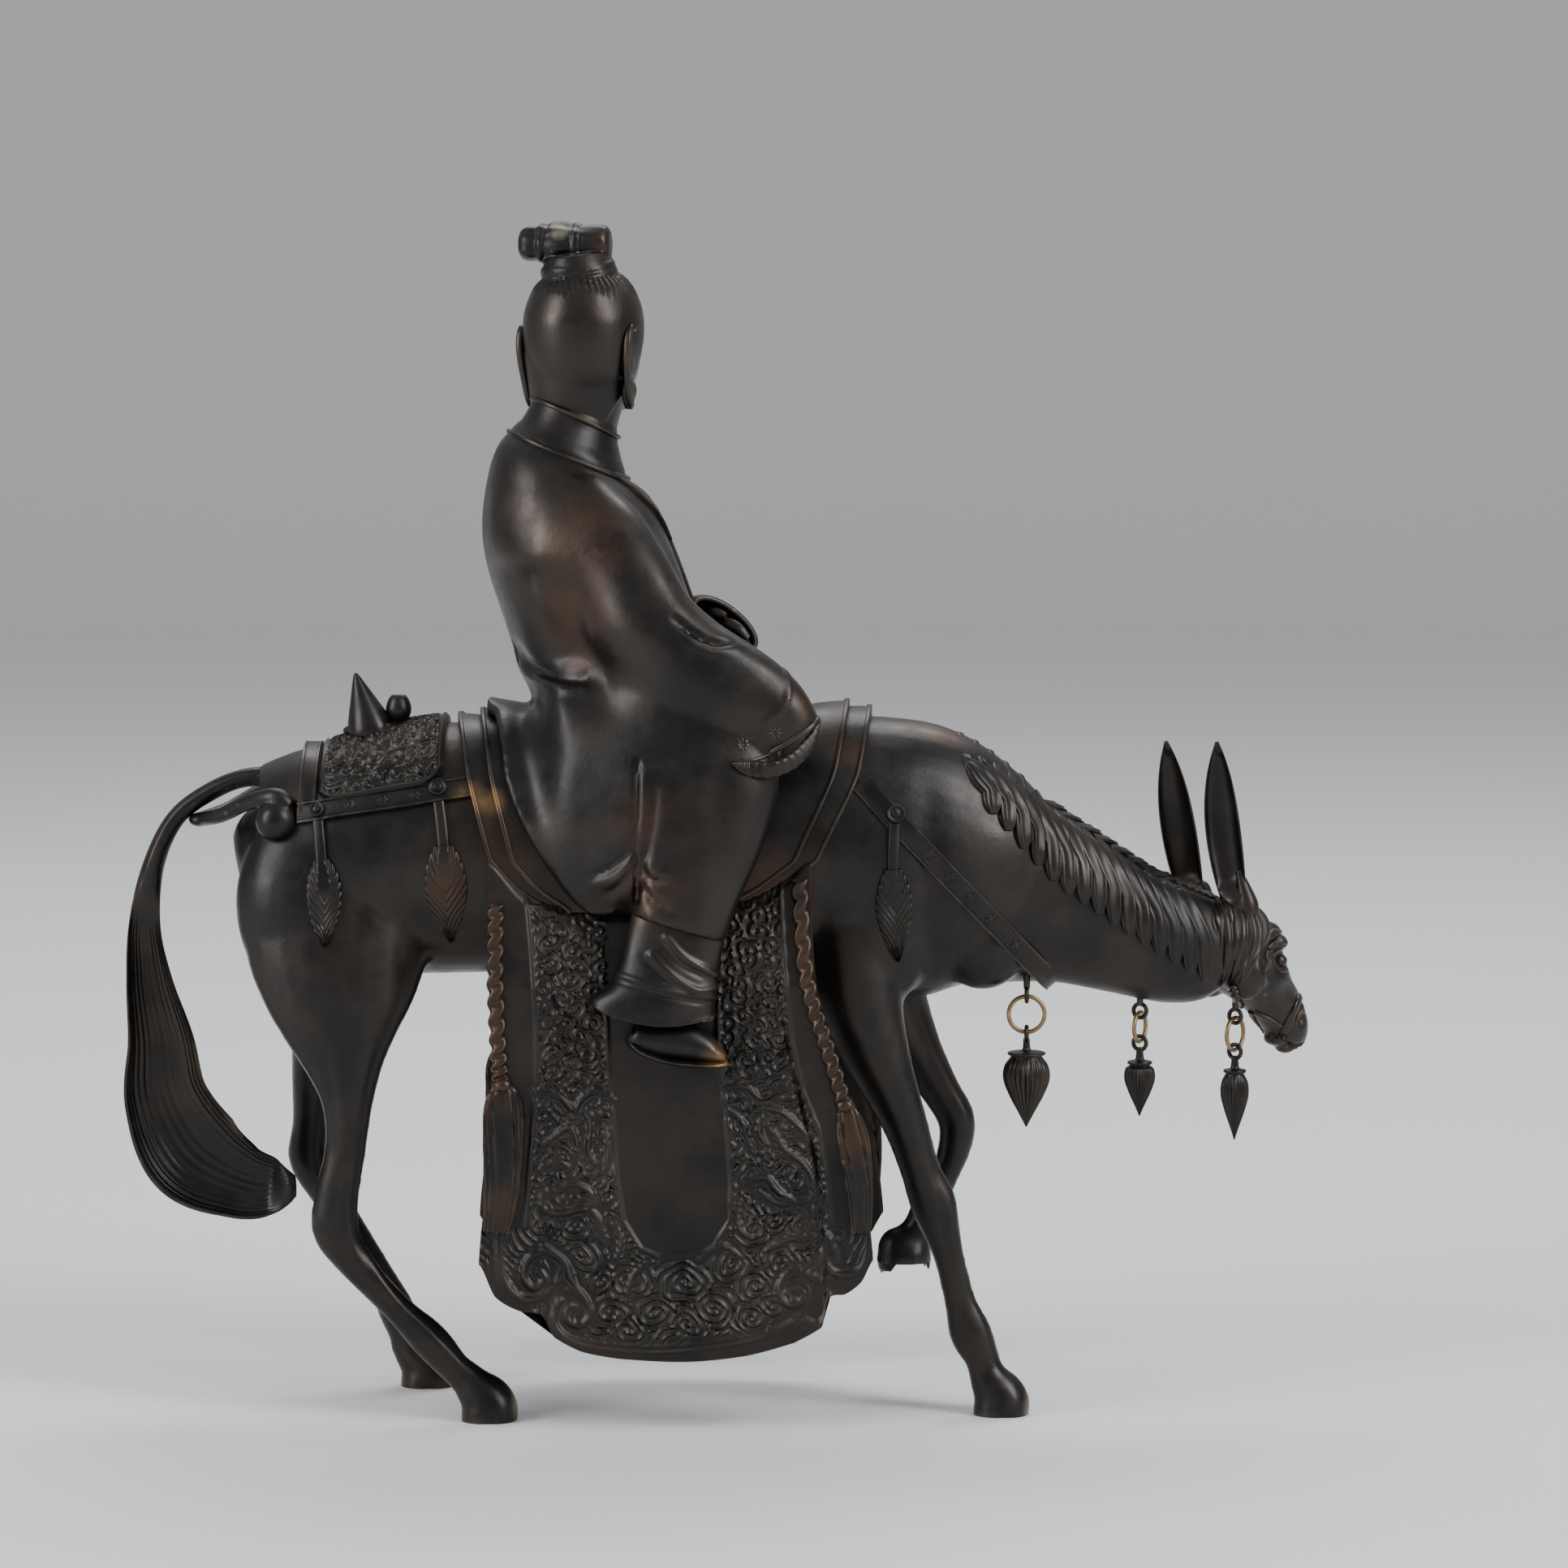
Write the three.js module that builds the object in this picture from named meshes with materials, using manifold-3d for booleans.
// A cast bronze mule walking with its head lowered, and a robed rider who sits in its saddle.
// Millimetres, +X to the mule's head, +Y to its left, +Z up, with the hoofs on z = 0.
import * as THREE from 'three';
import { ParametricGeometry } from 'three/addons/geometries/ParametricGeometry.js';
import { mergeVertices } from 'three/addons/utils/BufferGeometryUtils.js';
import Module from 'manifold-3d';

const wasm = await Module();
wasm.setup();

// Driving sizes
const GAP = 0.35; // clear space between two castings
const CLOTH_THICK = 2.6;
const SADDLE_LIFT = 2.2; // outer layer of the saddle above the back
const FLAP_LIFT = 3.6; // upper layer of the saddle
const ROBE_THICK = 3.2;
const STRAP_LIFT = 1.3;
const STRAP_WIDE = 5.4;
const HOOF_HIGH = 12;
const SLIVER = 0.04; // the least detail that a join keeps
const WIRE = 0.55; // half thickness of the wire rings
const EYE = 1.75; // radius of the lugs that the rings hang in
const CENTRE = [0.64, 0]; // middle of the bounding box, moved to the origin

const DARK_BRONZE = { color: 0x2b2420, roughness: 0.42, metalness: 0.85 };
const RING_BRASS = { color: 0x8a6a3c, roughness: 0.4, metalness: 0.9 };

// Curves through rows of numbers
function between(rows, t) {
  const place = Math.min(Math.max(t, 0), 1) * (rows.length - 1);
  const i = Math.min(Math.floor(place), rows.length - 2);
  const f = place - i;
  const before = rows[Math.max(i - 1, 0)];
  const after = rows[Math.min(i + 2, rows.length - 1)];
  return rows[i].map((p1, k) => {
    const p0 = before[k];
    const p2 = rows[i + 1][k];
    const p3 = after[k];
    const bend = f * (p2 - p0 + f * (2 * p0 - 5 * p1 + 4 * p2 - p3 + f * (3 * (p1 - p2) + p3 - p0)));
    return p1 + bend / 2;
  });
}

// The value at key of a table whose first column rises or falls steadily
function lookUp(rows, key) {
  const rising = rows[rows.length - 1][0] > rows[0][0];
  let i = 0;
  while (i < rows.length - 2 && (rising ? key > rows[i + 1][0] : key < rows[i + 1][0])) {
    i += 1;
  }
  const span = rows[i + 1][0] - rows[i][0];
  const f = Math.min(Math.max((key - rows[i][0]) / span, 0), 1);
  return between(rows, (i + f) / (rows.length - 1)).slice(1);
}

// Solids
function solid(geometry) {
  const plain = new THREE.BufferGeometry();
  plain.setAttribute('position', geometry.getAttribute('position').clone());
  if (geometry.index) {
    plain.setIndex(geometry.index.clone());
  }
  const welded = mergeVertices(plain, 1e-4);
  const points = welded.getAttribute('position').array;
  const index = welded.index.array;
  const triangles = [];
  let volume = 0;
  const a = new THREE.Vector3();
  const b = new THREE.Vector3();
  const c = new THREE.Vector3();
  for (let i = 0; i < index.length; i += 3) {
    const [p, q, r] = [index[i], index[i + 1], index[i + 2]];
    if (p !== q && q !== r && r !== p) {
      triangles.push(p, q, r);
      a.fromArray(points, p * 3);
      b.fromArray(points, q * 3);
      c.fromArray(points, r * 3);
      volume += a.dot(b.cross(c));
    }
  }
  if (volume < 0) {
    for (let i = 0; i < triangles.length; i += 3) {
      [triangles[i + 1], triangles[i + 2]] = [triangles[i + 2], triangles[i + 1]];
    }
  }
  return new wasm.Manifold(new wasm.Mesh({
    numProp: 3,
    vertProperties: Float32Array.from(points),
    triVerts: Uint32Array.from(triangles),
  }));
}

function join(solids) {
  return solids.reduce((whole, next) => whole.add(next));
}

// The outer body alone, with any pocket sealed inside it filled and slivers along its joins closed
function filled(body) {
  const outer = body.decompose().reduce((most, next) => (next.volume() > most.volume() ? next : most));
  return outer.asOriginal().setTolerance(SLIVER).simplify(SLIVER);
}

// A closed body along a spine: each station is [x, y, z, half width, half height]
function loftGeometry(stations, { rings = 10, sides = 12, side = [0, 1, 0], lift = 0, dent = 0 } = {}) {
  const across = new THREE.Vector3(...side);
  const at = (t) => between(stations, t);
  const ringFrame = (t) => {
    const [x, y, z, wide, tall] = at(t);
    const back = at(t - 0.02);
    const ahead = at(t + 0.02);
    const along = new THREE.Vector3(ahead[0] - back[0], ahead[1] - back[1], ahead[2] - back[2]);
    along.normalize();
    const right = across.clone().addScaledVector(along, -across.dot(along)).normalize();
    const up = new THREE.Vector3().crossVectors(along, right);
    return { middle: new THREE.Vector3(x, y, z), right, up, wide: wide + lift, tall: tall + lift };
  };
  const place = (u, v, target) => {
    const row = Math.round(v * (rings + 1));
    const t = Math.min(Math.max(row - 1, 0), rings - 1) / (rings - 1);
    const { middle, right, up, wide, tall } = ringFrame(t);
    target.copy(middle);
    if (row === 0 || row === rings + 1) {
      return;
    }
    const turn = Math.round(u * sides) % sides * 2 * Math.PI / sides;
    const hollow = 1 - Math.abs(dent) * Math.max(0, Math.sign(dent) * Math.sin(turn)) ** 2;
    target.addScaledVector(right, wide * Math.cos(turn));
    target.addScaledVector(up, tall * Math.sin(turn) * hollow);
  };
  return new ParametricGeometry(place, sides, rings + 1);
}

function loft(stations, options) {
  return solid(loftGeometry(stations, options));
}

// A closed sheet: point(u, v, lift) gives its under side at low and its upper side at high
function sheet(point, { across = 10, down = 10, low = 0, high = 1 }) {
  const around = 2 * across + 2;
  const place = (p, q, target) => {
    const row = Math.round(q * (down + 2));
    const v = Math.min(Math.max(row - 1, 0), down) / down;
    const step = Math.round(p * around) % around;
    const over = step <= across;
    const u = (over ? step : 2 * across + 1 - step) / across;
    const flat = row === 0 || row === down + 2;
    const lift = flat ? (low + high) / 2 : over ? high : low;
    target.set(...point(u, v, lift));
  };
  return solid(new ParametricGeometry(place, around, down + 2));
}

function cord(points, radius, rings = 9, sides = 4) {
  const stations = points.map((p) => [...p, radius, radius]);
  const [first, last] = [points[0], points[points.length - 1]];
  const flat = Math.abs(last[1] - first[1]) < 0.3 * Math.hypot(last[0] - first[0], last[2] - first[2]);
  return loft(stations, { rings, sides, side: flat ? [0, 1, 0] : [0, 0.3, 1] });
}

function ball(middle, radii, turn = 0) {
  const geometry = new THREE.SphereGeometry(1, 6, 5);
  geometry.scale(...radii);
  geometry.rotateZ(turn);
  geometry.translate(...middle);
  return solid(geometry);
}

function turned(profile, middle, sides = 10, lean = 0) {
  const geometry = new THREE.LatheGeometry(profile.map((p) => new THREE.Vector2(...p)), sides);
  geometry.rotateX(Math.PI / 2);
  geometry.rotateY(lean);
  geometry.translate(...middle);
  return solid(geometry);
}

function slab(middle, size, lean) {
  const geometry = new THREE.BoxGeometry(...size);
  geometry.rotateY(lean);
  geometry.translate(...middle);
  return solid(geometry);
}

// Trunk, cut by upright sections: x, middle height, half width, half height
const TRUNK = [
  [-119, 132, 6, 10], [-116, 132.5, 13, 19], [-108, 132.5, 21, 28.5], [-92, 138, 26, 30],
  [-66, 141, 27, 31.5], [-34, 139, 26.5, 29.5], [0, 139, 26.5, 29.5], [28, 140.5, 26, 33.5],
  [48, 137, 23.5, 35.5], [64, 132.5, 19, 30], [76, 127.5, 13, 21], [82, 125, 7, 11],
];

function trunkGeometry(lift) {
  const stations = TRUNK.map(([x, middle, wide, tall]) => [x, 0, middle, wide, tall]);
  return loftGeometry(stations, { rings: 13, sides: 12, lift });
}

// A drape over the back: run 0 is the ridge, 0.5 the widest line and 1 the height low
function drape(x, run, near, lift, low = 100, flare = 0.05) {
  const [middle, wide, tall] = lookUp(TRUNK, x);
  const turn = Math.min(run, 0.5) * Math.PI;
  const fall = Math.max(run - 0.5, 0) * 2 * (middle - low);
  const y = (wide + lift) * Math.sin(turn) + fall * flare;
  const z = middle + (tall + lift) * Math.cos(turn) - fall;
  return [x, near ? -y : y, z];
}

// The neck, the head and the ears
const NECK = [
  [34, 0, 139, 22, 34], [54, 0, 137, 18, 32], [71, 0.5, 131, 15, 25.4], [88, 2, 125.5, 12.5, 19.8],
  [103, 4, 119.5, 11, 16.4], [116, 7, 115.5, 10.5, 15], [125, 10, 114.5, 9.5, 12], [130, 12, 114, 5, 6],
];
const HEAD_SIDE = [0.68, -0.73, 0];
const HEAD = [
  [121, 5, 123, 5, 5], [124.5, 9, 119, 10, 10.5], [129.6, 12.5, 115, 12, 13], [134.6, 16, 109.4, 12, 12.5],
  [138, 19.5, 102.5, 8.8, 10.2], [140.8, 22, 97, 7.8, 8.6], [142.6, 23.8, 92.5, 7.8, 7.6],
  [144, 25, 89.6, 6, 5.4],
];

function neckSkin(t, turn, lift) {
  const [x, y, z, wide, tall] = between(NECK, t);
  return [x, y - (wide + lift) * Math.cos(turn), z + (tall + lift) * Math.sin(turn)];
}

const NEAR_LOCKS = 11;
const FAR_LOCKS = 7;
const MANE_START = 0.27;
const MANE_END = 0.84;

function mane(near) {
  const locks = [];
  const count = near ? NEAR_LOCKS : FAR_LOCKS;
  for (let i = 0; i < count; i += 1) {
    const share = i / (count - 1);
    const t = MANE_START + (MANE_END - MANE_START) * share;
    const reach = 1.2 + 0.55 * share;
    const path = [0, 0.5, 1].map((s) => {
      const turn = Math.PI / 2 - reach * s * (near ? 1 : -1);
      const point = neckSkin(t + 0.02 * Math.sin(s * Math.PI) - 0.012 * s, turn, 0.5 - 0.9 * s * s);
      return [...point, (near ? 2.8 : 4) * (1 - 0.75 * s * s), 1.4 - 0.8 * s];
    });
    locks.push(loft(path, { rings: 3, sides: 4, side: [1, 0, -0.6] }));
  }
  return locks;
}

function ear(base, tip, bow) {
  const rows = [0, 0.25, 0.5, 0.75, 1].map((s) => {
    const wide = 1.2 + 3.2 * Math.sin(Math.PI * (0.18 + 0.76 * s));
    const x = base[0] + (tip[0] - base[0]) * s + bow * Math.sin(Math.PI * s);
    const y = base[1] + (tip[1] - base[1]) * s;
    return [x, y, base[2] + (tip[2] - base[2]) * s, wide, wide * 0.62];
  });
  return loft(rows, { rings: 6, sides: 6, side: [0.86, -0.5, 0], dent: -0.75 });
}

// Legs, from the shoulder or the hip down to the pastern
const LEGS = {
  nearHind: [
    [-90, -12, 140, 12, 20], [-93.5, -15, 122, 12, 24], [-93.5, -18, 106, 10.5, 19.6],
    [-92.6, -20, 92, 8, 11.6], [-91.6, -21, 80, 6.4, 6.6], [-92.2, -21, 68, 4.8, 5.2],
    [-94.5, -21, 56, 4.6, 5.6], [-94.6, -21, 47.5, 4.7, 5.9], [-90, -21, 39.5, 4, 4.4],
    [-80, -21, 28.5, 3.7, 3.7], [-71.5, -21, 20, 4.4, 4.7], [-65, -21, 12.5, 4.2, 4],
  ],
  farHind: [
    [-90, 12, 140, 12, 20], [-92, 15, 122, 12, 21], [-95.5, 18, 105, 10.5, 17],
    [-99.5, 20, 90, 8, 10.5], [-102.5, 21, 78, 6.2, 7], [-104, 21.5, 67.5, 4.8, 5.4],
    [-104.6, 22, 59, 4.7, 5.9], [-100.5, 22, 50, 4.2, 4.6], [-93.5, 22, 39, 3.7, 3.8],
    [-87, 22, 28, 3.8, 3.8], [-83, 22, 19.5, 4.4, 4.7], [-80, 22, 12, 4.2, 4.2],
  ],
  nearFore: [
    [32, -10, 132, 12, 18], [33, -13, 116, 11, 15], [35.5, -15.5, 102, 9.4, 11],
    [40.5, -16.5, 88, 7, 8], [46, -16.5, 75, 5.4, 5.9], [50, -16, 63, 4.6, 5.1],
    [53.6, -15.5, 53, 4.8, 5.6], [57, -15, 41.5, 3.8, 3.9], [60, -14, 29.5, 3.7, 3.8],
    [63, -13.5, 20.5, 4.5, 5.2], [66.8, -13.5, 12.5, 4.1, 4.1],
  ],
  farFore: [
    [36, 10, 132, 12, 17], [39, 13, 116, 11, 14], [43, 16, 102, 8.8, 10],
    [49.5, 17.5, 88.5, 6.4, 7], [56, 18, 77.5, 5, 5.2], [60.4, 18, 69.5, 4.6, 4.9],
    [60, 18, 62.5, 4.2, 4.4], [57, 18, 54, 3.6, 3.7], [53, 18, 45.5, 4.2, 4.6], [50.4, 18, 40, 3.8, 3.9],
  ],
};

// A hoof with a flat sole; stand is the middle of the sole
function hoof(stand, rise = HOOF_HIGH, shift = -5.5) {
  const rows = [
    [stand[0], stand[1], stand[2], 6, 6.2], [stand[0] + 1, stand[1], stand[2] + 2.6, 6.6, 7.4],
    [stand[0] + shift * 0.55, stand[1], stand[2] + rise * 0.62, 5.6, 6],
    [stand[0] + shift, stand[1], stand[2] + rise, 4.4, 4.4],
  ];
  const rings = rows.map((row) => row);
  const sides = 8;
  const place = (u, v, target) => {
    const level = Math.round(v * 5);
    const [x, y, z, wide, long] = rings[Math.min(Math.max(level - 1, 0), 3)];
    const turn = Math.round(u * sides) % sides * 2 * Math.PI / sides;
    const spread = level === 0 || level === 5 ? 0 : 1;
    target.set(x + spread * long * Math.cos(turn), y + spread * wide * Math.sin(turn), z);
  };
  return solid(new ParametricGeometry(place, sides, 5));
}

const TAIL = [
  [-106, 0, 157, 4.5, 3.8], [-117, 0, 158.6, 2.8, 2.4], [-127, 0, 155, 2.6, 2.3],
  [-136, 0, 148, 2.9, 2.7], [-141, 0, 136, 4.2, 4.2], [-142.4, 0, 122, 5.6, 5.8],
  [-142.2, 0, 107, 6.6, 6.3], [-141.2, 0, 92, 7.4, 7.4], [-138.4, 0, 77.5, 8, 9.6],
  [-131.5, 0, 64, 8, 11.6], [-120.5, 0, 57, 6.4, 9], [-112, 0, 55.4, 4.4, 6.6], [-106.5, 0, 55.4, 1.5, 2.5],
];

function crupper() {
  const bend = [
    [-107, -15, 151], [-114, -12.5, 152], [-124, -8, 149.6], [-130.6, 0, 147.2],
    [-124, 8, 149.6], [-114, 12.5, 152], [-107, 15, 151],
  ];
  const bar = loft(bend.map((p) => [...p, 2.3, 2.3]), { rings: 9, sides: 5, side: [0, 0, 1] });
  return [bar, ball([-107, -16.5, 150], [5.2, 4.4, 5.2]), ball([-107, 16.5, 150], [5.2, 4.4, 5.2])];
}

// The saddle: two layers over the back, each bounded by its rear and front edges
const REAR_EDGE = [[0, -65], [0.3, -61.5], [0.5, -56], [0.75, -50], [1, -42]];
const FRONT_EDGE = [[0, 38.5], [0.3, 35], [0.5, 25], [0.75, 16], [1, 6]];

function saddleLayer(inset, low, high) {
  const point = (u, v, lift) => {
    const run = Math.abs(2 * v - 1);
    const [rear] = lookUp(REAR_EDGE, run);
    const [front] = lookUp(FRONT_EDGE, run);
    const x = rear + inset + (front - rear - 2 * inset) * u;
    return drape(x, run, v < 0.5, lift, 128, 0.03);
  };
  return sheet(point, { across: 3, down: 12, low, high });
}

// The saddle cloth hangs on each side; its edges are given by height
const CLOTH_REAR = [[164, -56], [133, -55.7], [93, -54], [70, -55.6], [42, -58.4]];
const CLOTH_FRONT = [[164, 24], [133, 23], [110, 24.5], [90, 28.5], [68, 35], [42, 38.4]];
const CLOTH_BOTTOM = [
  [0, 42], [0.04, 34], [0.1, 30.5], [0.16, 29.4], [0.19, 24], [0.26, 20.4], [0.36, 18.6], [0.53, 17.9],
  [0.68, 19.4], [0.8, 22.6], [0.87, 26.6], [0.885, 33.6], [0.93, 34.6], [0.97, 37.6], [1, 43],
];
const CLOTH_TOP = 150;
const CLOTH_SPREAD = 30.6;
const CLOTH_MIDDLE = -10;
const FAR_SPREAD = 1.08;

function clothSkin(x, z, near, lift) {
  const [middle, wide, tall] = lookUp(TRUNK, x);
  const rise = Math.min(Math.max((z - middle) / tall, 0), 0.98);
  const hang = Math.max(0, Math.min(1, (middle - z) / 30));
  const body = wide * Math.sqrt(1 - rise * rise);
  const y = body + (CLOTH_SPREAD - wide + 1.6) * hang + Math.max(0, 80 - z) * 0.055 + lift;
  return [x, near ? -y : y, z];
}

function cloth(near, swell = 0) {
  const spread = near ? 1 : FAR_SPREAD;
  const point = (u, v, lift) => {
    const [bottom] = lookUp(CLOTH_BOTTOM, u);
    const z = CLOTH_TOP + (bottom - CLOTH_TOP) * v;
    const [rear] = lookUp(CLOTH_REAR, Math.max(z, 42));
    const [front] = lookUp(CLOTH_FRONT, Math.max(z, 42));
    return clothSkin(CLOTH_MIDDLE + (rear + (front - rear) * u - CLOTH_MIDDLE) * spread, z, near, lift);
  };
  return sheet(point, { across: 12, down: 4, low: -swell, high: CLOTH_THICK + swell });
}

function onCloth(points, near, radius, rings) {
  return cord(points.map(([x, z]) => clothSkin(x, z, near, CLOTH_THICK + radius * 0.2)), radius, rings);
}

function spiral(middle, start, turns, large, small) {
  const points = [];
  for (let i = 0; i <= 8; i += 1) {
    const turn = start + turns * 2 * Math.PI * i / 8;
    const radius = large + (small - large) * i / 8;
    points.push([middle[0] + radius * Math.cos(turn), middle[1] + radius * Math.sin(turn)]);
  }
  return points;
}

function clothCarving(near) {
  const rim = [[-50.5, 80], [-51, 62], [-52.6, 48], [-50.5, 39], [-44.5, 34.6], [-38.5, 36]];
  const foot = [[-36, 30], [-32, 25], [-22, 22.4], [-7, 21.4], [6, 22.6], [15, 26], [20.5, 30.5]];
  const side = [[22.5, 38], [28, 39.6], [33, 43], [33.2, 54], [31, 66], [27.6, 78], [24.6, 92]];
  return [
    onCloth(rim, near, 1.1, 7), onCloth(foot, near, 1.1, 6), onCloth(side, near, 1.1, 7),
    onCloth(spiral([-44.5, 38.5], 2.4, 1.2, 5.4, 1.4), near, 1, 7),
    onCloth(spiral([21.5, 37], 0.8, -1.2, 5, 1.4), near, 1, 7),
    onCloth([[-32, 99], [-32.6, 74], [-28, 52], [-12, 43], [4, 52], [8.6, 74], [8, 99]], near, 0.9, 8),
  ];
}

// Braided cords down the cloth's edges, each ending in a tassel: x, height, half width
const REAR_CORD = [[-54, 134, 2.2], [-54, 112, 2.2], [-53.2, 92, 2], [-52.2, 80, 4.6], [-52.6, 63, 4], [-54, 51, 2.2]];
const FRONT_CORD = [[18.5, 133, 2.2], [22, 112, 2.2], [30.4, 84, 2], [33.4, 73, 3.6], [35, 60, 3], [35.2, 51, 1.6]];

function edgeCord(rows, near) {
  const spread = near ? 1 : FAR_SPREAD;
  const stations = rows.map(([x, z, wide]) => {
    const skin = clothSkin(CLOTH_MIDDLE + (x - CLOTH_MIDDLE) * spread, z, near, CLOTH_THICK);
    return [...skin, wide, 1.9];
  });
  return loft(stations, { rings: 8, sides: 4, side: [1, 0, 0] });
}

// Leaf-shaped tassels on short straps
function leafTassel(x, near) {
  const rows = [[152, 1.8, 1.2], [143, 1.6, 1.2], [139, 3.4, 1.6], [130, 5.4, 2], [121, 4, 1.7], [117.6, 0.8, 0.6]];
  const stations = rows.map(([z, wide, thick]) => {
    const [middle, half, tall] = lookUp(TRUNK, x);
    const rise = Math.min(Math.max((z - middle) / tall, -0.7), 0.95);
    const y = half * Math.sqrt(1 - rise * rise) + 0.9;
    return [x, near ? -y : y, z, wide, thick];
  });
  return loft(stations, { rings: 5, sides: 4, side: [1, 0, 0] });
}

function straps() {
  const swollen = solid(trunkGeometry(STRAP_LIFT));
  const neck = loft(NECK, { rings: 8, sides: 12, lift: STRAP_LIFT });
  const chest = swollen.add(neck).intersect(slab([57, 0, 136], [74, 80, STRAP_WIDE], 0.82));
  const croup = swollen.intersect(slab([-82, 0, 154.6], [42, 80, STRAP_WIDE], -0.15));
  const dock = swollen.intersect(slab([-101, 0, 160], [4.4, 80, 22], 0));
  const pad = solid(trunkGeometry(2)).intersect(slab([-82.5, 0, 171], [33, 46, 27], -0.15));
  return [chest, croup, dock, pad];
}

function finials() {
  const cone = [[0, -2], [4.2, -2], [4.6, 1], [3.4, 7], [0, 15]];
  const knob = [[0, -2], [1.6, -2], [1.5, 3], [3.2, 6.4], [1.8, 10.4], [0, 10.8]];
  return [turned(cone, [-86.5, -3, 170.4], 8, -0.26), turned(knob, [-79.6, -3, 169.5], 6)];
}

// A wire ring in its lug, with a drop hanging in the ring
function hanging({ at, radius, length, wide, turn }) {
  const [x, y, z] = at;
  const lugHeight = z + radius;
  const wheel = (size, wire, height, spin, steps) => {
    const geometry = new THREE.TorusGeometry(size, wire, 4, steps);
    geometry.rotateX(Math.PI / 2);
    geometry.rotateZ(spin);
    geometry.translate(x, y, height);
    return solid(geometry);
  };
  const clear = WIRE + WIRE + 0.25;
  const lug = wheel(EYE, WIRE, lugHeight + EYE - clear, turn + Math.PI / 2, 6);
  const stem = new THREE.CylinderGeometry(0.9, 0.8, 6, 4);
  stem.rotateX(Math.PI / 2);
  stem.translate(x, y, lugHeight + 2 * EYE - clear + 2.8);
  const ring = wheel(radius, WIRE, z, turn, 14);
  const loopHeight = z - radius - EYE + clear;
  const loop = wheel(EYE, WIRE, loopHeight, turn + Math.PI / 2, 6);
  const top = loopHeight - EYE + 0.2;
  const body = turned([
    [0, 0.4], [0.9, 0.2], [1.1, -1.6], [wide * 0.72, -2], [wide * 0.72, -3], [wide * 0.9, -3.6],
    [wide, -length * 0.3], [wide * 0.72, -length * 0.62], [wide * 0.34, -length * 0.9], [0, -length],
  ], [x, y, top], 8);
  return { lug: lug.add(solid(stem)), ring, drop: body.add(loop) };
}

const CHEST_DROP = hanging({ at: [77.2, -4, 99.4], radius: 4.5, length: 22, wide: 5.6, turn: 0 });
const THROAT_DROP = hanging({ at: [106.2, 5, 95], radius: 3.7, length: 17, wide: 3.7, turn: 1.1 });
const CHEEK_DROP = hanging({ at: [130.6, 9.5, 92.6], radius: 4.1, length: 21, wide: 3.4, turn: 0.95 });

// The mule's own casting
function muleBody() {
  return [
    solid(trunkGeometry(0)),
    loft(NECK, { rings: 8, sides: 12 }),
    loft(HEAD, { rings: 9, sides: 10, side: HEAD_SIDE }),
    ...Object.values(LEGS).map((rows) => loft(rows, { rings: 10, sides: 8 })),
    hoof([-57.4, -21, 0]), hoof([-75.5, 22, 0]), hoof([70.2, -13.5, 0], HOOF_HIGH, -4),
    hoof([46.6, 18, 32.4], 8.5, 3.4),
    loft(TAIL, { rings: 12, sides: 7 }),
  ];
}

function mule() {
  return filled(join([
    ...muleBody(),
    ...mane(true), ...mane(false),
    ear([130.4, 6.6, 121], [125.6, 8.4, 166.6], 1.8),
    ear([119.6, 15.4, 121], [113.4, 16.6, 166.2], 2.2),
    ball([135.6, 7.6, 114.6], [2.6, 2.2, 2.6]), ball([127, 25, 114.6], [2.6, 2.2, 2.6]),
    ...crupper(),
    saddleLayer(0, -2, SADDLE_LIFT), saddleLayer(5.6, -2, FLAP_LIFT),
    cloth(true), cloth(false),
    ...clothCarving(true),
    ...[true, false].flatMap((near) => [edgeCord(REAR_CORD, near), edgeCord(FRONT_CORD, near)]),
    ...[-96.5, -66.5, 43.5].flatMap((x) => [leafTassel(x, true), leafTassel(x, false)]),
    ...straps(), ...finials(),
    CHEST_DROP.lug, THROAT_DROP.lug, CHEEK_DROP.lug,
  ]));
}

// The space that the rider keeps clear of
function seat() {
  return join([
    solid(trunkGeometry(GAP)), loft(NECK, { rings: 8, sides: 12, lift: GAP }),
    saddleLayer(0, -2, SADDLE_LIFT + GAP), saddleLayer(5.6, -2, FLAP_LIFT + GAP),
    cloth(true, GAP), cloth(false, GAP),
    slab([-14, 0, 140], [80, 50, 40], 0),
  ]);
}

// The rider
const ROBE_HEM = [
  [-57.5, 181], [-56, 172], [-53.5, 163], [-49, 151], [-44, 141], [-37, 132], [-29, 127.4], [-21, 129],
  [-12, 126], [-2, 126], [5, 132], [12, 149], [16.5, 166],
];
const TORSO = [
  [-16, 0, 168, 29, 33], [-19, 0, 177, 26, 28.5], [-23.5, 0, 185, 23, 24], [-27.4, 0, 193, 23, 23],
  [-32, 0.5, 206, 24.2, 22.8], [-37, 1, 220, 24.2, 22], [-38.6, 1, 231, 21.5, 19.2], [-38, 1.5, 239.5, 16, 15.6],
  [-36, 2, 247, 11, 11], [-34.5, 2, 255, 8.8, 8.8],
];
const HIPS = [
  [-19, 0, 177, 26, 28.5], [-16.5, 0, 168, 29.5, 33], [-17, 0, 156, 32.4, 32.4], [-18, 0, 145, 34, 27.5],
  [-19, 0, 135, 34, 20], [-19.5, 0, 127.4, 33.4, 12],
];
const NEAR_SLEEVE = [
  [-35, -12, 228, 8, 8], [-30, -18, 220, 9.5, 9.6], [-22, -25, 209, 9.5, 10.4], [-12.5, -29, 197, 9, 11],
  [-1, -30, 186, 8.5, 12.4], [10, -29.5, 178.5, 8, 12.4], [20.4, -28, 174.6, 7.2, 11.2],
];
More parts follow.
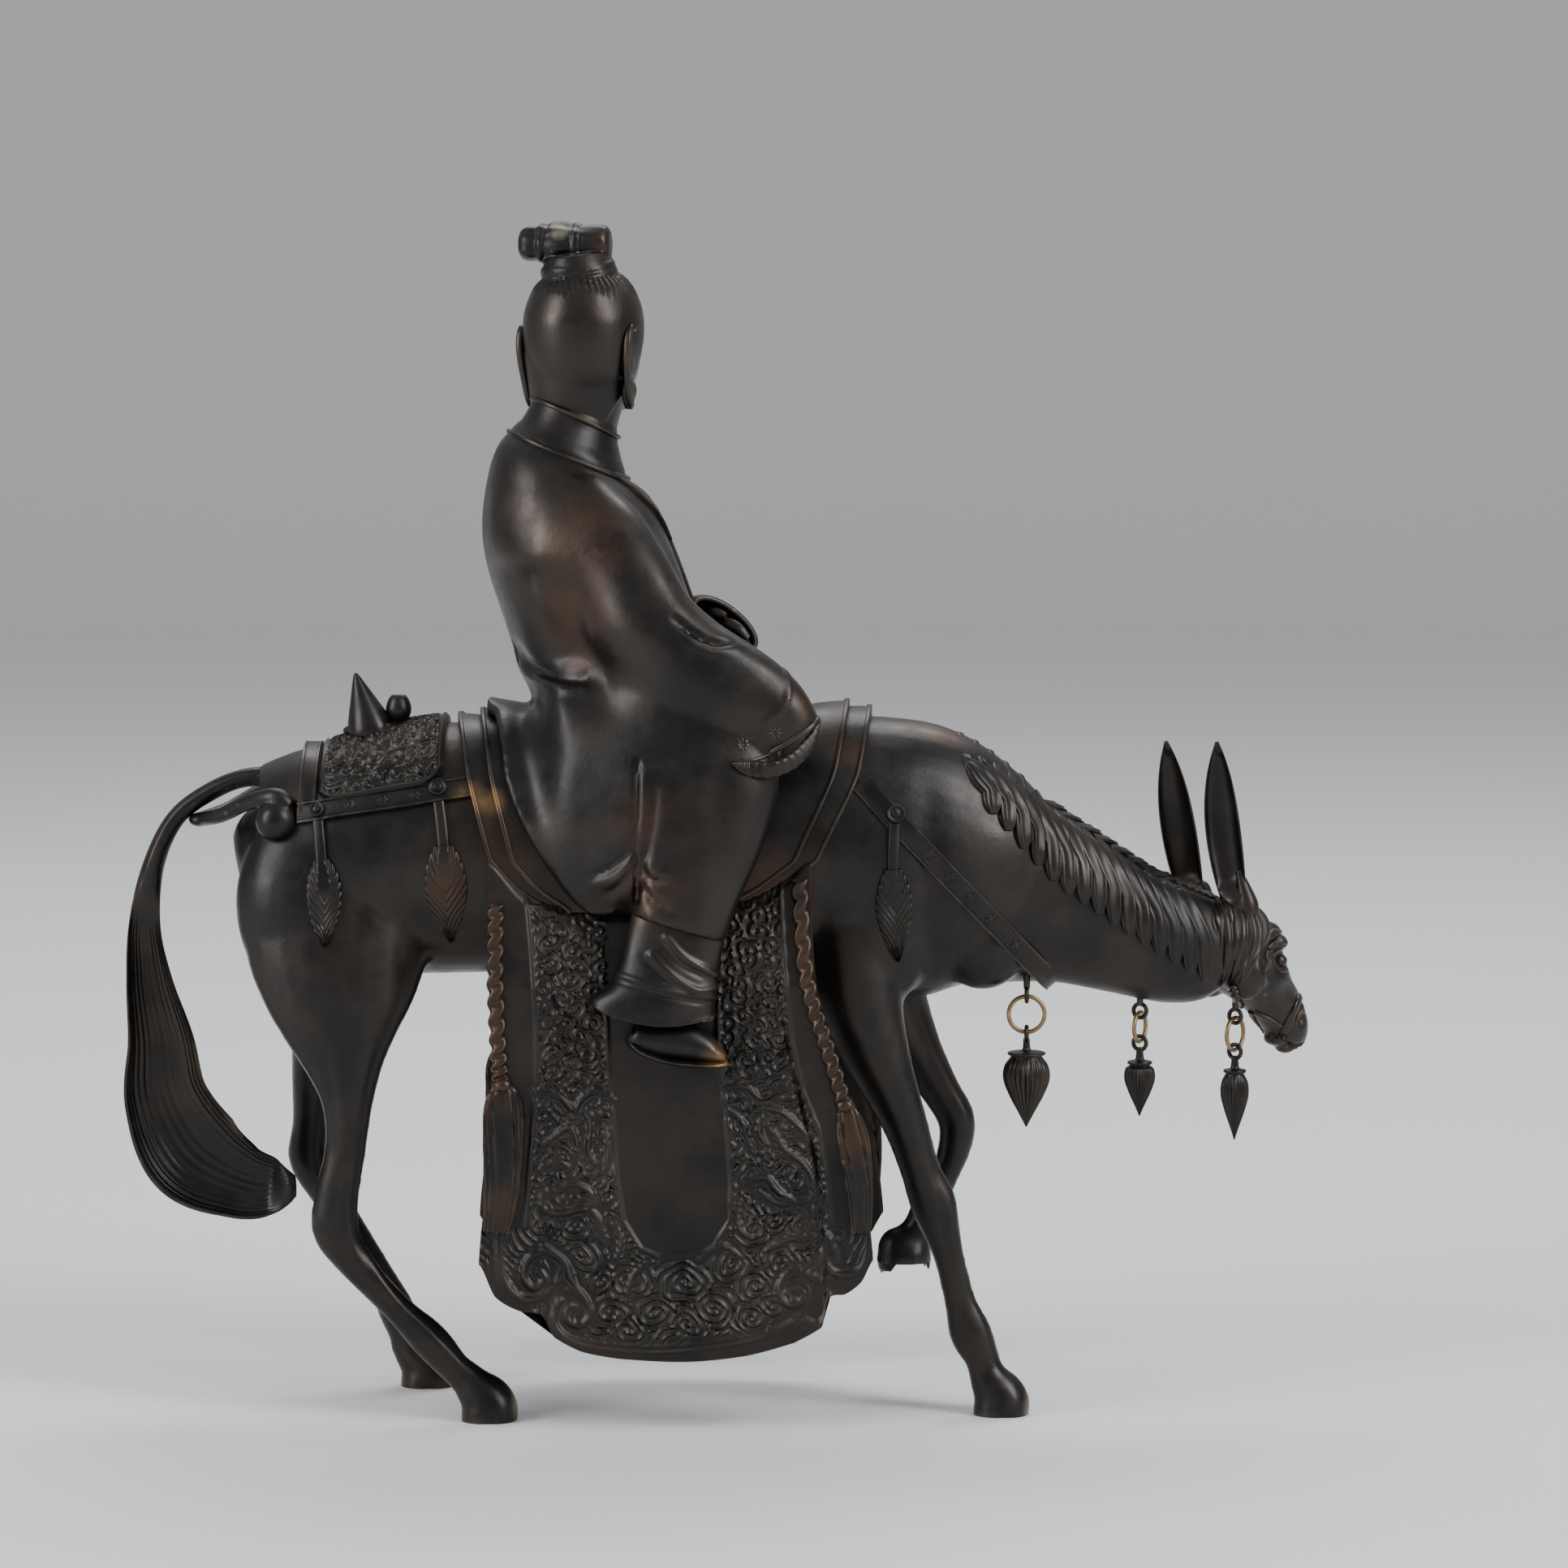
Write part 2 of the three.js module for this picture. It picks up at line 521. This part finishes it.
const FAR_SLEEVE = [
  [-43, 13, 228, 8, 8], [-39, 19, 219, 9.5, 9.6], [-31, 25, 207, 9.5, 10.4], [-21, 28, 195, 9, 11],
  [-9, 28, 185, 8.5, 12], [2, 26, 178, 8, 12], [10, 23, 174.6, 7.2, 10.4],
];
const NEAR_LEG = [
  [-22, -18, 184, 10, 14], [-6, -25, 176, 10, 16], [0, -32, 164, 9, 15.5], [-1.5, -35, 150, 8, 14],
  [-6, -36.5, 136, 7.4, 12.6], [-9.5, -37.5, 124.5, 7, 12],
];
const NEAR_TROUSER = [
  [-10, -37, 128, 5.6, 10], [-13, -37.5, 118, 6.2, 11.4], [-15, -38, 109, 7, 13.4], [-16, -38, 102.6, 7.4, 15],
];
const NEAR_SHOE = [
  [-22, -38, 97.6, 2.6, 3], [-17, -38.2, 97.6, 4.6, 4.6], [-8, -38.6, 96, 4.7, 4.4], [-1, -39, 94.6, 4.2, 3.6],
  [3, -39.2, 94.8, 2, 1.8],
];
const HEAD_MIDDLE = [-33.4, 2, 266];

const mirrored = (rows) => rows.map(([x, y, ...rest]) => [x, -y, ...rest]);

function robeSkirt() {
  const point = (u, v, lift) => {
    const x = -57.5 + 74 * u;
    const run = Math.abs(2 * v - 1);
    const [low] = lookUp(ROBE_HEM, x);
    const [middle] = lookUp(TRUNK, x);
    const pleat = 0.9 * Math.cos(u * 5 * Math.PI) * run;
    if (low >= middle) {
      const [, , tall] = lookUp(TRUNK, x);
      const end = Math.acos(Math.min((low - middle) / (tall + 3), 0.97)) / Math.PI;
      return drape(x, run * end, v < 0.5, lift + pleat);
    }
    return drape(x, run, v < 0.5, lift + pleat, low, 0.06);
  };
  return sheet(point, { across: 6, down: 12, low: FLAP_LIFT - 1, high: FLAP_LIFT + ROBE_THICK });
}

function sleeve(rows) {
  const outer = loft(rows, { rings: 5, sides: 8, side: [0.3, 1, 0] });
  const [end, before] = [rows[rows.length - 1], rows[rows.length - 2]];
  const reach = [0, 1, 2].map((k) => end[k] + (end[k] - before[k]) * 0.6);
  const mouth = [
    [before[0], before[1], before[2], 2, 3], [end[0], end[1], end[2], end[3] - 2.2, end[4] - 2.4],
    [...reach, end[3] - 1.6, end[4] - 1.8],
  ];
  return outer.subtract(loft(mouth, { rings: 3, sides: 6, side: [0.3, 1, 0] }));
}

function leg(near) {
  const flip = near ? (rows) => rows : mirrored;
  return [
    loft(flip(NEAR_LEG), { rings: 5, sides: 8 }), loft(flip(NEAR_TROUSER), { rings: 3, sides: 8 }),
    loft(flip(NEAR_SHOE), { rings: 5, sides: 6 }),
  ];
}

function riderHead() {
  const [x, y, z] = HEAD_MIDDLE;
  const skull = [
    [x, y, z - 15, 8.5, 8.5], [x + 0.3, y + 0.6, z - 11, 12, 12], [x, y + 0.4, z - 5, 14.4, 14.4],
    [x, y, z + 3, 14.8, 14.8], [x, y, z + 9, 14.2, 14], [x - 0.5, y - 0.2, z + 14, 11.8, 12],
    [x - 1, y - 0.4, z + 17, 9, 9.2], [x - 1.6, y - 0.6, z + 20, 8.4, 8.6],
  ];
  const roll = [[x - 17.2, y + 1.5, z + 25.4, 4.4, 4.4], [x - 12, y + 1, z + 25.4, 5.2, 5.2], [x - 4, y, z + 25.4, 4.7, 4.7],
    [x + 3, y - 1, z + 25.6, 5.2, 5.3], [x + 7.4, y - 1.6, z + 25.8, 4.6, 4.8]];
  const face = Math.PI * 0.39;
  const [fx, fy] = [Math.cos(face), Math.sin(face)];
  const nose = [
    [x + 12.2 * fx, y + 12.2 * fy, z + 3, 1.2, 1.2], [x + 14.6 * fx, y + 14.6 * fy, z - 2.4, 2, 1.6],
    [x + 13.4 * fx, y + 13.4 * fy, z - 4.4, 1.6, 1],
  ];
  const earAt = (side) => ball([x + side * 14.4 * fy, y - side * 14.4 * fx, z - 3], [2.2, 1.6, 7.4], face);
  return [
    loft(skull, { rings: 8, sides: 10, side: [0, 1, 0] }), loft(roll, { rings: 5, sides: 8, side: [0, 1, 0] }),
    loft(nose, { rings: 4, sides: 6, side: [fy, -fx, 0] }), earAt(1), earAt(-1),
    ball([x + 9.6 * fx, y + 9.6 * fy, z - 11.6], [4.4, 4, 3.4]),
  ];
}

function rider() {
  const collar = loft([
    [-37.6, 1.5, 236, 18.4, 17.6], [-37, 1.5, 241.5, 15.6, 15], [-35.4, 2, 248.5, 11.6, 11.6],
  ], { rings: 3, sides: 10 });
  const waist = loft([
    [-24.4, 0, 185, 23.4, 24.2], [-25.8, 0, 188.4, 24.6, 25.4], [-27.4, 0, 191.6, 23.8, 24.6],
  ], { rings: 3, sides: 10 });
  const hands = [ball([2, -20, 197], [7, 5, 5.4]), ball([-1, 12, 195], [7, 5, 5])];
  const cuffed = join([sleeve(NEAR_SLEEVE), sleeve(FAR_SLEEVE)]);
  const forearm = loft([[-12, -26, 194, 5, 5], [1, -20, 195.5, 3.4, 3.6]], { rings: 2, sides: 6 });
  const farForearm = loft([[-14, 22, 193, 5, 5], [-1, 12, 194, 3.4, 3.6]], { rings: 2, sides: 6 });
  return filled(join([
    loft(TORSO, { rings: 10, sides: 12 }), loft(HIPS, { rings: 6, sides: 12 }), cuffed, forearm, farForearm, ...hands,
    robeSkirt(), ...leg(true), ...leg(false), collar, waist, ...riderHead(),
  ]).subtract(seat()));
}

// The scene graph
function geometryOf(body) {
  const { vertProperties, triVerts } = body.getMesh();
  const geometry = new THREE.BufferGeometry();
  geometry.setAttribute('position', new THREE.BufferAttribute(Float32Array.from(vertProperties), 3));
  geometry.setIndex(new THREE.BufferAttribute(Uint32Array.from(triVerts), 1));
  geometry.computeVertexNormals();
  return geometry;
}

function piece(name, body, finish) {
  const mesh = new THREE.Mesh(geometryOf(body), new THREE.MeshStandardMaterial(finish));
  mesh.name = name;
  return mesh;
}

const figure = new THREE.Group();
figure.name = 'mule_rider_figure';
figure.add(
  piece('mule', mule(), DARK_BRONZE),
  piece('rider', rider(), DARK_BRONZE),
  piece('chest_ring', CHEST_DROP.ring, RING_BRASS),
  piece('chest_drop', CHEST_DROP.drop, DARK_BRONZE),
  piece('throat_ring', THROAT_DROP.ring, RING_BRASS),
  piece('throat_drop', THROAT_DROP.drop, DARK_BRONZE),
  piece('cheek_ring', CHEEK_DROP.ring, RING_BRASS),
  piece('cheek_drop', CHEEK_DROP.drop, DARK_BRONZE),
);
figure.position.set(-CENTRE[0], -CENTRE[1], 0);

export default figure;
